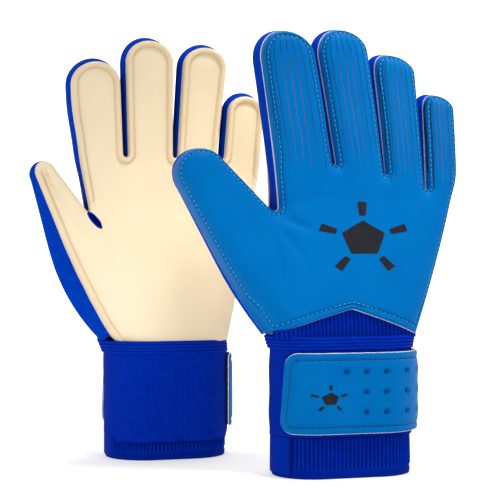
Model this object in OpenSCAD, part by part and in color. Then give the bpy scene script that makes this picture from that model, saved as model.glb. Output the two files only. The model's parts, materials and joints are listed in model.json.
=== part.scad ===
// A pair of goalkeeper gloves standing on their cuffs: the left one shows its palm to the front,
// the right one its back. Millimetres, +Z up, origin under the middle of the pair on the floor.

/* [Pair] */
// Distance between the two cuffs from side to side
pair_dx = 88.7; // [84:0.1:120]
// Distance between the two cuffs from front to back
pair_dy = 108; // [100:1:130]

/* [Left glove] */
// Height of the left cuff
left_cuff_h = 79; // [76:1:90]
// Width and depth of the left cuff inside
left_cuff_size = [79, 51]; // [44:1:88]
// Place across the hand of the left index, middle, ring and little finger at their folds
left_finger_x = [-48.7, -13.3, 18.8, 50]; // [-60:0.1:80]
// Heights of those folds
left_finger_z = [201, 202, 201, 192]; // [180:1:204]
// Lean of the left fingers towards the little finger
left_finger_lean = [-3, -1.5, 4, 4]; // [-8:0.5:8]
// Widths of the left fingers at their folds
left_finger_base_w = [36, 33.5, 30, 28]; // [22:0.5:39]
// Widths of the left fingers near their tips
left_finger_tip_w = [36.5, 35.5, 33.5, 28.5]; // [20:0.5:38]
// Lengths of the left fingers above their folds
left_finger_len = [68, 82, 80, 57]; // [45:1:90]
// Place across and height of the left thumb's fold
left_thumb_xz = [-67, 154.5]; // [-80:0.5:170]
// Lean of the left thumb
left_thumb_lean = -26; // [-38:1:-18]
// Widths of the left thumb at its fold and near its tip, and its length
left_thumb_size = [33, 17.5, 49]; // [15:0.5:64]

/* [Right glove] */
// Height of the right cuff
right_cuff_h = 87; // [76:1:90]
// Width and depth of the right cuff inside
right_cuff_size = [85.5, 47]; // [44:1:88]
// Place across the hand of the right index, middle, ring and little finger at their folds
right_finger_x = [-28.7, 7.8, 38.3, 63.8]; // [-60:0.1:80]
// Heights of those folds
right_finger_z = [196, 197, 190, 181]; // [180:1:204]
// Lean of the right fingers towards the little finger
right_finger_lean = [-8, -8, -5, -2]; // [-8:1:8]
// Widths of the right fingers at their folds
right_finger_base_w = [38.5, 32, 26.5, 22.5]; // [22:0.5:39]
// Widths of the right fingers near their tips
right_finger_tip_w = [37, 34.5, 28.5, 22.5]; // [20:0.5:38]
// Lengths of the right fingers above their folds
right_finger_len = [82, 83, 75, 59]; // [45:1:90]
// Place across and height of the right thumb's fold
right_thumb_xz = [-64.5, 151]; // [-80:0.5:170]
// Lean of the right thumb
right_thumb_lean = -37; // [-38:1:-18]
// Widths of the right thumb at its fold and near its tip, and its length
right_thumb_size = [44, 31, 61]; // [15:0.5:64]

/* [Materials] */
// Thickness of the latex palm with its foam
palm_t = 6; // [4:0.5:7]
// Thickness of the foam back
back_t = 5; // [3:0.5:6]
// Thickness of the side wall fabric
wall_t = 1.5; // [1:0.1:2]
// Thickness of the knitted cuff
knit_t = 1.5; // [1.2:0.1:2]

/* [Depths] */
// Thickness of the hand from palm to back at the fingers
hand_d = 27; // [24:1:32]
// Height above which the hand keeps the thickness of the fingers
flat_z = 172; // [160:1:178]

/* [Cuff] */
// Height of the stitched band at the top of the cuff
band_h = 8; // [6:1:10]
// Height of the elastic wrap below that band
wrap_h = 54; // [50:1:58]
// How much further the wrap reaches down on the palm side
wrap_drop = 6; // [0:1:8]
// Height of the lining above the floor
lining_lift = 1; // [0.5:0.5:4]

/* [Strap] */
// Height of the wrist strap
strap_h = 49; // [40:1:50]
// Distance from the top of the cuff to the top of the strap
strap_drop = 10; // [9:1:14]
// Thickness of the strap backing
backing_t = 1.4; // [1.2:0.1:2]
// Thickness of the strap face
face_t = 1.5; // [1:0.1:2]
// Radius of the corners at the free end of the strap
strap_corner = 8; // [4:1:12]
// Where the free end stops round the thumb side of the cuff
strap_end_angle = 143; // [110:1:150]

/* [Hidden] */
SIDES = ["left", "right"];
DIGITS = ["thumb", "index", "middle", "ring", "little"];
HAND_PARTS = ["palm_panel", "back_panel", "wrist_rib_insert", "thumb_side_wall", "little_side_wall",
    "thumb_web", "cuff_tube", "cuff_lining", "wrist_wrap", "cuff_top_band", "loop_patch",
    "strap_anchor", "strap_backing", "strap_face", "hook_patch"];
DIGIT_PARTS = ["palm", "back", "gusset"];
NODES = [for (s = SIDES) each concat(
    [for (p = HAND_PARTS) str(s, "_", p)],
    [for (d = DIGITS) for (p = DIGIT_PARTS) str(s, "_", d, "_", p)])];
node = "all";

royal = [0.02, 0.12, 0.62];
sky = [0.0, 0.45, 0.82];
cream = [0.93, 0.87, 0.75];
black = [0.08, 0.08, 0.1];

gap = 0.3;          // clearance at a fold
crotch_gap = 1;     // clearance between a finger's side and the hand beside it
seam = 0.1;         // clearance between pieces that are sewn together
panel_edge = 1;     // how far a panel's edge stays inside the side wall's
tip_steps = 16;     // facets round a fingertip
arc_steps = 16;     // facets round one end of the cuff
curve_steps = 6;    // facets along a side of the hand
far = 400;          // longer than anything in the pair
patch_t = 0.8;      // thickness of the hook patch and of the loop patch
patch_gap = 0.3;    // clearance between the closed hook and loop
fold_angle = 6;     // gap round the cuff at the strap's fold
sewn_angle = 32;    // how far the strap's sewn end reaches past the little finger's side
// How far the hand is wider than the inside of the cuff at the wrist, at the thumb's side and at the
// little finger's side, for the left and the right glove.
wrist_flare = [[5.8, 2], [6.4, 3.4]];
wrist_step = 0.5;   // how far the hand is shallower than the knit at the wrist, front and back
thumb_bulge = [[-8.5, -6], [-2, -1.5]];     // bow of the hand's edge below the thumb, left and right
little_bulge = [[1, 0], [3, 0]];            // the same below the little finger
rib_t = 2;          // thickness of the ribbed insert above the cuff
rib_top = 24;       // height of the ribbed insert above the cuff
chevron_side = 2;   // height of the back panel's lower corners above the cuff
chevron_x = 0;      // place across of the chevron's peak
chevron_h = 17;     // height of the chevron's peak above the cuff

cuff_h = [left_cuff_h, right_cuff_h];
cuff_size = [left_cuff_size, right_cuff_size];
finger_x = [left_finger_x, right_finger_x];
finger_z = [left_finger_z, right_finger_z];
finger_lean = [left_finger_lean, right_finger_lean];
finger_base_w = [left_finger_base_w, right_finger_base_w];
finger_tip_w = [left_finger_tip_w, right_finger_tip_w];
finger_len = [left_finger_len, right_finger_len];
thumb_xz = [left_thumb_xz, right_thumb_xz];
thumb_lean = [left_thumb_lean, right_thumb_lean];
thumb_size = [left_thumb_size, right_thumb_size];

// Digit d of side s, counted from the thumb: place of its fold, lean, widths and length.
function fold(s, d) = d == 0 ? thumb_xz[s] : [finger_x[s][d - 1], finger_z[s][d - 1]];
function lean(s, d) = d == 0 ? thumb_lean[s] : finger_lean[s][d - 1];
function base_w(s, d) = d == 0 ? thumb_size[s][0] : finger_base_w[s][d - 1];
function tip_w(s, d) = d == 0 ? thumb_size[s][1] : finger_tip_w[s][d - 1];
function length(s, d) = d == 0 ? thumb_size[s][2] : finger_len[s][d - 1];
function along(a) = [sin(a), cos(a)];
function across(a) = [cos(a), -sin(a)];

// A point on a digit, q across its fold and r along it.
function on_digit(s, d, q, r) = fold(s, d) + q * across(lean(s, d)) + r * along(lean(s, d));

// Outline of a digit, drawn in by inset, from its fold round the tip and back.
function digit_outline(s, d, inset, start = gap / 2) =
    let (wb = base_w(s, d) / 2 - inset, wt = tip_w(s, d) / 2 - inset,
         top = length(s, d) - tip_w(s, d) / 2)
    concat([on_digit(s, d, wb, start)],
        [for (k = [0:tip_steps]) let (a = 180 * k / tip_steps)
            on_digit(s, d, wt * cos(a), top + wt * sin(a))],
        [on_digit(s, d, -wb, start)]);

function curve(p, c, q) = [for (k = [0:curve_steps]) let (t = k / curve_steps)
    (1 - t) * (1 - t) * p + 2 * t * (1 - t) * c + t * t * q];

// Ends of digit d's fold line on the hand, drawn in by inset: side -1 towards the thumb.
function fold_end(s, d, side, inset) = on_digit(s, d, side * (base_w(s, d) / 2 - inset), -gap / 2);

function wrist_x(s, side) = cuff_size[s][0] / 2 + wrist_flare[s][side];
function thumb_side(s, inset) = let (q = fold_end(s, 0, -1, inset), p = [inset - wrist_x(s, 0), cuff_h[s]])
    curve(p, (p + q) / 2 + thumb_bulge[s], q);
function little_side(s, inset) = let (q = fold_end(s, 4, 1, inset), p = [wrist_x(s, 1) - inset, cuff_h[s]])
    curve(p, (p + q) / 2 + little_bulge[s], q);
function web_side(s, inset) = [fold_end(s, 0, 1, -inset), fold_end(s, 1, -1, inset)];

// Corner of the hand beside the lower end of two neighbouring folds, clear of that finger's side.
function crotch(s, d) = let (
    a = on_digit(s, d, base_w(s, d) / 2 + crotch_gap, -gap / 2),
    b = on_digit(s, d + 1, -base_w(s, d + 1) / 2 - crotch_gap, -gap / 2))
    a[1] < b[1] ? a : b;

// Outline of the whole hand below the folds.
function hand_outline(s, inset) = concat(
    thumb_side(s, inset),
    web_side(s, inset),
    [fold_end(s, 1, 1, inset)],
    [for (d = [2:4]) each [crotch(s, d - 1), fold_end(s, d, -1, inset), fold_end(s, d, 1, inset)]],
    [for (k = [1:curve_steps]) little_side(s, inset)[curve_steps - k]]);

function wrist_d(s) = cuff_size[s][1] + 2 * (knit_t - wrist_step);

// Distance of the hand's outer face from its middle, and the slab that lies between two depths
// below that face: side -1 is the palm and side 1 the back.
function face_y(s, z) = z >= flat_z ? hand_d / 2
    : hand_d / 2 + (wrist_d(s) - hand_d) / 2 * (flat_z - z) / (flat_z - cuff_h[s]);
function slab(s, side, from, to) = [
    for (z = [cuff_h[s] - 1, flat_z, far]) [side * (face_y(s, z) - from), z],
    for (z = [far, flat_z, cuff_h[s] - 1]) [side * (face_y(s, z) - to), z]];

// Half the distance between the centres of the cuff's round ends, and the radius of a layer there.
function end_x(s) = (cuff_size[s][0] - cuff_size[s][1]) / 2;
function end_r(s, off) = cuff_size[s][1] / 2 + off;

// Outline of a cuff layer, off millimetres outside the knit: a slot shape with round ends.
function slot(s, off) = [for (side = [1, -1]) for (k = [0:arc_steps])
    let (a = 90 - 180 * k / arc_steps) side * ([end_x(s), 0] + end_r(s, off) * [cos(a), sin(a)])];

// Path round the back of the cuff, off millimetres outside the knit, from angle a0 at the little
// finger's side to angle a1 past the thumb's side corner.
function back_path(s, off, a0, a1) = [for (side = [1, -1]) for (k = [0:arc_steps])
    let (a = side > 0 ? a0 + (90 - a0) * k / arc_steps : 90 + (a1 - 90) * k / arc_steps)
    [side * end_x(s), 0] + end_r(s, off) * [cos(a), sin(a)]];

pair_low = min([for (d = [0:4]) each [for (p = digit_outline(0, d, 0)) p[0]]]) - pair_dx / 2;
pair_high = max([for (d = [0:4]) each [for (p = digit_outline(1, d, 0)) p[0]]]) + pair_dx / 2;
middle_x = (pair_low + pair_high) / 2;
middle_y = (left_cuff_size[1] - right_cuff_size[1]) / 4;

// Puts a glove in its place. Its palm faces -Y until the right glove is mirrored.
module place(s) {
    translate([(s - 0.5) * pair_dx - middle_x, (0.5 - s) * pair_dy - middle_y, 0])
        if (s == 1) mirror([0, 1, 0]) children();
        else children();
}

// Prism of an outline across and up, from y0 to y1.
module prism(points, y0 = -far / 2, y1 = far / 2) {
    translate([0, y1, 0]) rotate([90, 0, 0]) linear_extrude(y1 - y0) polygon(points);
}

// Prism of a profile seen from the side.
module side_prism(points) {
    translate([-far / 2, 0, 0]) rotate([90, 0, 90]) linear_extrude(far) polygon(points);
}

// Ring between two cuff outlines, from z0 to z1.
module ring(s, off, t, z0, z1) {
    translate([0, 0, z0]) difference() {
        linear_extrude(z1 - z0) polygon(slot(s, off + t));
        translate([0, 0, -1]) linear_extrude(z1 - z0 + 2) polygon(slot(s, off));
    }
}

// Curved plate that follows the back of the cuff.
module back_plate(s, off, t, a0, a1, z0, z1) {
    inner = back_path(s, off, a0, a1);
    outer = back_path(s, off + t, a0, a1);
    translate([0, 0, z0]) linear_extrude(z1 - z0)
        polygon(concat(inner, [for (k = [1:len(outer)]) outer[len(outer) - k]]));
}

// Wall along a line of points, wall_t thick, between the palm and the back.
module wall(s, outer, inner) {
    intersection() {
        prism(concat(outer, [for (k = [1:len(inner)]) inner[len(inner) - k]]));
        side_prism(concat(
            [for (z = [cuff_h[s] + seam, flat_z, far]) [-(face_y(s, z) - palm_t - seam), z]],
            [for (z = [far, flat_z, cuff_h[s] + seam]) [face_y(s, z) - back_t - seam, z]]));
    }
}

// Latex palm of the hand, below the folds.
module palm_panel(s) {
    color(cream) intersection() {
        prism(hand_outline(s, panel_edge));
        side_prism(slab(s, -1, 0, palm_t));
    }
}

// Foam back of the hand, whose lower edge is a chevron.
module back_panel(s) {
    z = cuff_h[s];
    color(sky) intersection() {
        difference() {
            prism(hand_outline(s, panel_edge));
            prism([[-far, z - 2], [-far, z + chevron_side], [-wrist_x(s, 0), z + chevron_side],
                [chevron_x, z + chevron_h], [wrist_x(s, 1), z + chevron_side], [far, z + chevron_side],
                [far, z - 2]]);
        }
        side_prism(slab(s, 1, 0, back_t));
    }
}

// Ribbed knit that shows between the chevron and the cuff.
module wrist_rib_insert(s) {
    z = cuff_h[s];
    inset = wall_t + 2;
    color(royal) intersection() {
        prism(hand_outline(s, inset));
        prism([[-far, z], [-far, z + rib_top], [far, z + rib_top], [far, z]]);
        side_prism(slab(s, 1, back_t + seam, back_t + seam + rib_t));
    }
}

module thumb_side_wall(s) {
    color(royal) wall(s, thumb_side(s, 0), thumb_side(s, wall_t));
}

module little_side_wall(s) {
    color(royal) wall(s, little_side(s, 0), little_side(s, wall_t));
}

module thumb_web(s) {
    color(royal) wall(s, web_side(s, 0), web_side(s, wall_t));
}

module cuff_tube(s) {
    color(royal) ring(s, 0, knit_t, 0, cuff_h[s] - seam);
}

module cuff_lining(s) {
    color(black) ring(s, -1 - seam, 1, lining_lift, cuff_h[s] - seam);
}

// Elastic wrap, longer on the palm side than on the back.
module wrist_wrap(s) {
    top = cuff_h[s] - band_h - seam;
    low = top - wrap_h;
    color(royal) difference() {
        ring(s, knit_t + seam, knit_t, low - wrap_drop, top);
        translate([-far / 2, 0, low - wrap_drop - 1]) cube([far, far / 2, wrap_drop + 1]);
    }
}

module cuff_top_band(s) {
    color(royal) ring(s, knit_t + seam, knit_t + 0.8, cuff_h[s] - band_h, cuff_h[s] - seam);
}

wrap_off = 2 * knit_t + seam;                       // outside of the wrap, from the knit's inside
loop_off = wrap_off + seam;                         // inside of the loop patch
hook_off = loop_off + patch_t + patch_gap;          // inside of the hook patch
backing_off = hook_off + patch_t + seam;            // inside of the strap backing
face_off = backing_off + backing_t + seam;          // inside of the strap face

function strap_top(s) = cuff_h[s] - strap_drop;
function strap_low(s) = strap_top(s) - strap_h;

// Point k of the strap's sewn end, off millimetres outside the knit.
function strap_end(s, off, k) = let (a = -fold_angle - (sewn_angle - fold_angle) * k / arc_steps)
    [end_x(s), 0] + end_r(s, off) * [cos(a), sin(a)];

module loop_patch(s) {
    color(royal) back_plate(s, loop_off, patch_t, 75, 130, strap_low(s) + 6, strap_top(s) - 6);
}

// Sewn end of the strap, just past the little finger's side.
module strap_anchor(s) {
    color(sky) translate([0, 0, strap_low(s)]) linear_extrude(strap_h) polygon(concat(
        [for (k = [0:arc_steps]) strap_end(s, wrap_off + seam, k)],
        [for (k = [arc_steps:-1:0]) strap_end(s, face_off + face_t - patch_t, k)]));
}

// Keeps the free end of the strap inside its rounded corners.
module strap_outline(s, inset) {
    r = strap_corner - inset;
    x0 = end_r(s, face_off) * cos(strap_end_angle) - end_x(s) + strap_corner;
    corner = [for (k = [0:6]) let (a = 90 + 15 * k) r * [cos(a), sin(a)]];
    prism(concat(
        [[far / 2, strap_top(s) - inset]],
        [for (p = corner) p + [x0, strap_top(s) - strap_corner]],
        [for (k = [6:-1:0]) [corner[k][0], -corner[k][1]] + [x0, strap_low(s) + strap_corner]],
        [[far / 2, strap_low(s) + inset]]));
}

module strap_backing(s) {
    color(black) intersection() {
        back_plate(s, backing_off, backing_t, 0, strap_end_angle + 5, strap_low(s), strap_top(s));
        strap_outline(s, 0.5);
    }
}

module strap_face(s) {
    color(sky) intersection() {
        back_plate(s, face_off, face_t, 0, strap_end_angle + 5, strap_low(s), strap_top(s));
        strap_outline(s, 0);
    }
}

module hook_patch(s) {
    color(black) back_plate(s, hook_off, patch_t, 80, 125, strap_low(s) + 8, strap_top(s) - 8);
}

module digit_palm(s, d) {
    color(cream) prism(digit_outline(s, d, panel_edge), -hand_d / 2, -hand_d / 2 + palm_t);
}

module digit_back(s, d) {
    color(sky) prism(digit_outline(s, d, panel_edge), hand_d / 2 - back_t, hand_d / 2);
}

// Side wall that runs up one side of a digit, over its tip and down the other.
module digit_gusset(s, d) {
    color(royal) difference() {
        prism(digit_outline(s, d, 0), -hand_d / 2 + palm_t + seam, hand_d / 2 - back_t - seam);
        prism(digit_outline(s, d, wall_t, -1));
    }
}

function wanted(s, part) = node == "all" || node == str(SIDES[s], "_", part);

for (s = [0, 1]) {
    if (wanted(s, "palm_panel")) place(s) palm_panel(s);
    if (wanted(s, "back_panel")) place(s) back_panel(s);
    if (wanted(s, "wrist_rib_insert")) place(s) wrist_rib_insert(s);
    if (wanted(s, "thumb_side_wall")) place(s) thumb_side_wall(s);
    if (wanted(s, "little_side_wall")) place(s) little_side_wall(s);
    if (wanted(s, "thumb_web")) place(s) thumb_web(s);
    if (wanted(s, "cuff_tube")) place(s) cuff_tube(s);
    if (wanted(s, "cuff_lining")) place(s) cuff_lining(s);
    if (wanted(s, "wrist_wrap")) place(s) wrist_wrap(s);
    if (wanted(s, "cuff_top_band")) place(s) cuff_top_band(s);
    if (wanted(s, "loop_patch")) place(s) loop_patch(s);
    if (wanted(s, "strap_anchor")) place(s) strap_anchor(s);
    if (wanted(s, "strap_backing")) place(s) strap_backing(s);
    if (wanted(s, "strap_face")) place(s) strap_face(s);
    if (wanted(s, "hook_patch")) place(s) hook_patch(s);
    for (d = [0:4]) {
        if (wanted(s, str(DIGITS[d], "_palm"))) place(s) digit_palm(s, d);
        if (wanted(s, str(DIGITS[d], "_back"))) place(s) digit_back(s, d);
        if (wanted(s, str(DIGITS[d], "_gusset"))) place(s) digit_gusset(s, d);
    }
}
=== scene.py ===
import json
import math

import bpy
import numpy as np
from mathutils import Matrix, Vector
from mathutils.geometry import delaunay_2d_cdt


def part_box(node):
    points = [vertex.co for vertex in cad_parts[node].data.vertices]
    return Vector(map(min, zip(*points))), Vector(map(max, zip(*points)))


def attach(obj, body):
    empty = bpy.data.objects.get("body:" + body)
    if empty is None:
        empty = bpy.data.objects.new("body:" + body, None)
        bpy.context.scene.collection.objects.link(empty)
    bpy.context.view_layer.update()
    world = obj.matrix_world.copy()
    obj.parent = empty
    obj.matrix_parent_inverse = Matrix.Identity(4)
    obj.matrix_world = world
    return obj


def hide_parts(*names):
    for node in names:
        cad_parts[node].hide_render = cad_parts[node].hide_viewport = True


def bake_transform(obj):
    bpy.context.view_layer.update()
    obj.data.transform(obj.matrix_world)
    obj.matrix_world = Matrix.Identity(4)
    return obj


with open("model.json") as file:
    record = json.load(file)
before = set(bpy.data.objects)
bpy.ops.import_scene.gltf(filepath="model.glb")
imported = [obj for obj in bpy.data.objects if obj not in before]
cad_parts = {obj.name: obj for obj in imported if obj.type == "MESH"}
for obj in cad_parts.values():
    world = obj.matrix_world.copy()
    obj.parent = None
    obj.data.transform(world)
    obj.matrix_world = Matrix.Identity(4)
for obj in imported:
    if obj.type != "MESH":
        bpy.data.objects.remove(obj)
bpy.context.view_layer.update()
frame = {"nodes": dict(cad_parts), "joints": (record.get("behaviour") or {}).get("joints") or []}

# A pair of goalkeeper gloves. Lengths in this file are millimetres in the glove's own frame, which has
# the palm at -y, the back at +y, the thumb at -x and z up; to_row() turns them into the row's metres.
MM = 0.001
DIGITS = ("thumb", "index", "middle", "ring", "little")
JOINTS = {joint["name"]: joint for joint in frame["joints"]}

# How far each panel's edge stays inside the glove's silhouette, or outside it where negative. A pair is the
# base and the tip of a digit; outer runs from the wrist up to the thumb.
INSETS = {
    "palm": dict(left=(2.4, 2.6), right=(0.7, 0.7), tip=3.2, thumb_left=(8.4, 3.4), thumb_right=(0.4, 0.6),
                 thumb_tip=0.9, outer=(6.5, 9.5, 11.0, 10.5, 8.4), web=1.0, little=0.9),
    "middle": dict(left=(0, 0), right=(0, 0), tip=0, thumb_left=(0, 0), thumb_right=(0, 0), thumb_tip=0,
                   outer=(0, 0), web=0, little=0),
    "back": dict(left=(2.4, 2.8), right=(-0.4, -0.6), tip=1.0, thumb_left=(0.0, 0.0), thumb_right=(0.6, 0.4),
                 thumb_tip=0.3, outer=(0.3, 0.0), web=2.4, little=1.4),
}
# Height of the bottoms of the slits between the fingers, above the lower end of the two folds.
SLIT_RISE = {
    "left": {"palm": (1.0, 0.5, 8.0), "middle": (-2, -2, 0), "back": (-5, -5, -5)},
    "right": {"palm": (1.0, 1.0, 3.0), "middle": (-2, -2, -2), "back": (-2, -1, -2)},
}
SLIT_RADIUS = 0.35      # least radius of a slit's bottom
# The V between the thumb and the index finger: the height of its bottom and its width.
WEB_RISE = {"palm": 4.0, "middle": 2.5, "back": 2.0}
WEB_WIDTH = {"left": 0.8, "right": 8.0}

# Bow of the hand's edge below the thumb and below the little finger, the slant of each digit's tip, and how
# much the index finger narrows on its thumb side towards its fold, over TAPER_OVER.
THUMB_BULGE = {"left": (-8.5, -6.0), "right": (-2.0, -1.5)}
LITTLE_BULGE = {"left": (1.0, 0.0), "right": (3.0, 0.0)}
TIP_SKEW = {"left": (0, 0.5, -0.5, 0.5, 0), "right": (-1, -2, -2, -4.5, -3)}
INDEX_TAPER = {"left": 3.4, "right": 0.0}
TAPER_OVER = 42
CURL = 6.0              # how far the fingers bend forward, towards the palm, over CURL_OVER of their height
CURL_OVER = 110
CHEVRON_SIDES = (-0.2, 1.0)     # height above the cuff of the chevron's lower corners, little finger's first
CHEVRON_PEAK = 17.0     # height of its peak above the cuff
BLEND_FROM = 1.5        # height above a digit's fold of a point that sew works out but does not use
BLEND_OVER = 24.0       # and of a second point this much further up
STRAP_BLEND = (-1.0, 11.0)      # depths of two points that sew works out for the strap but does not use


# ---------------------------------------------------------------- small helpers

def columns(*parts):
    return np.column_stack(parts)


def unit(vectors):
    return vectors / np.maximum(np.linalg.norm(vectors, axis=1), 1e-12)[:, None]


def smoothstep(low, high, x):
    t = np.clip((x - low) / (high - low), 0, 1)
    return t * t * (3 - 2 * t)


def bell(x, width):
    return np.exp(-(x / width) ** 2)


def rounded(x, radius):
    """Height of an edge rounded over radius: 0 at x = 0 and 1 from radius on."""
    return np.sqrt(1 - (1 - np.clip(x / radius, 0, 1)) ** 2)


# ---------------------------------------------------------------- gloves

class Digit:
    """A finger or the thumb: its fold, its directions across and along, its widths and its length."""

    def __init__(self, glove, name):
        joint = JOINTS[f"{glove.side}_{name}_bend"]
        axis = np.array(joint["axis"]) * glove.turn
        self.name = name
        self.across = axis[[0, 2]]
        self.along = np.array([-axis[2], axis[0]])
        self.fold = glove.local(joint["pos_m"])[[0, 2]]
        q, r = self.coords(glove.node(f"{name}_gusset")[:, [0, 2]]).T
        self.length = r.max()
        self.base_w = 2 * np.abs(q[r < 1]).max()
        self.tip_w = 2 * np.abs(q[r > self.length * 0.4]).max()
        self.top = self.length - self.tip_w / 2

    def coords(self, xz):
        return columns((xz - self.fold) @ self.across, (xz - self.fold) @ self.along)

    def point(self, q, r):
        return self.fold + np.multiply.outer(q, self.across) + np.multiply.outer(r, self.along)

    def half(self, r):
        return (self.base_w + (self.tip_w - self.base_w) * np.clip(r / self.top, 0, 1)) / 2

    def side_at(self, sign, inset, z):
        """How far up the digit the point of one side lies that is at height z."""
        q = sign * (self.base_w / 2 - inset)
        return (z - self.fold[1] - q * self.across[1]) / self.along[1]


class Glove:
    def __init__(self, side):
        self.side = side
        self.turn = 1 if side == "left" else -1
        low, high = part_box(f"{side}_cuff_tube")
        self.centre = np.array([(low.x + high.x) / 2, (low.y + high.y) / 2, 0]) / MM
        self.knit_w, self.knit_d = (high.x - low.x) / MM, (high.y - low.y) / MM
        palm, finger = self.node("palm_panel"), self.node("index_palm")
        self.cuff_h = palm[:, 2].min()
        self.finger_y = -finger[:, 1].min()
        self.wrist_y = -palm[:, 1].min()
        at_flat = np.abs(palm[:, 1] + self.finger_y) < 0.01
        self.flat_z = palm[at_flat][:, 2].min()
        self.end_x = (self.knit_w - self.knit_d) / 2
        self.wrist_x = [self.low_end("thumb_side_wall", -1), self.low_end("little_side_wall", 1)]
        self.digits = [Digit(self, name) for name in DIGITS]
        self.strap_z = self.node("strap_face")[:, 2].min(), self.node("strap_face")[:, 2].max()

    def local(self, place):
        return (np.array(place) / MM - self.centre) * [1, self.turn, 1]

    def node(self, name):
        vertices = frame["nodes"][f"{self.side}_{name}"].data.vertices
        return self.local([v.co[:] for v in vertices])

    def low_end(self, name, sign):
        """Place across of a side wall's outer corner at the wrist."""
        wall = self.node(name)
        return sign * (sign * wall[wall[:, 2] < self.cuff_h + 1][:, 0]).max()

    def to_row(self, points):
        """Puts points in the row, with the fingers slightly curled towards the palm."""
        points = np.array(points, float)
        points[..., 1] -= CURL * np.clip((points[..., 2] - self.flat_z) / CURL_OVER, 0, None) ** 2
        return (points * [1, self.turn, 1] + self.centre) * MM

    def face_y(self, z):
        """Depth of the hand's outer face, which grows from the fingers to the cuff."""
        rise = np.clip((self.flat_z - z) / (self.flat_z - self.cuff_h), 0, 1.05)
        return self.finger_y + (self.wrist_y - self.finger_y) * rise


# ---------------------------------------------------------------- outlines

def bezier(p0, p1, p2, p3, count):
    t = np.linspace(0, 1, count)[:, None]
    return (1 - t) ** 3 * p0 + 3 * t * (1 - t) ** 2 * p1 + 3 * t * t * (1 - t) * p2 + t ** 3 * p3


def side_curve(start, end, bulge, insets, count):
    """Bowed edge of the hand from the wrist up to a digit, drawn in to the right of its direction."""
    control = (start + end) / 2 + bulge
    t = np.linspace(0, 1, count)[:, None]
    line = (1 - t) ** 2 * start + 2 * t * (1 - t) * control + t * t * end
    run = unit(np.gradient(line, axis=0))
    inset = np.interp(t[:, 0], np.linspace(0, 1, len(insets)), insets)[:, None]
    return line + inset * columns(run[:, 1], -run[:, 0])


def round_bottom(lower, a_end, a_way, b_start, b_way, count=9):
    """U that joins the side of one digit to the side of the next."""
    reach = 4 / 3 * lower
    return bezier(a_end, a_end - a_way * reach, b_start - b_way * reach, b_start, count)


# Points of the parts of an outline: the hand's side below the thumb, the side of a digit, its tip, the
# hand's side below the little finger, and the lower edge on both sides of the chevron's peak.
THUMB_SIDE, DIGIT_SIDE, DIGIT_TIP, LITTLE_EDGE, PEAK_SIDES = 60, 48, 44, 84, (31, 32)
# Where some of them start, counted from the wrist on the thumb's side, and how many the lower edge has.
THUMB_TIP = THUMB_SIDE + DIGIT_SIDE - 2
THUMB_RIGHT = THUMB_TIP + DIGIT_TIP - 1
WEB = THUMB_RIGHT + DIGIT_SIDE - 1
BOTTOM = sum(PEAK_SIDES) - 2
LITTLE_SIDE = -(LITTLE_EDGE - 1 + BOTTOM)


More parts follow.
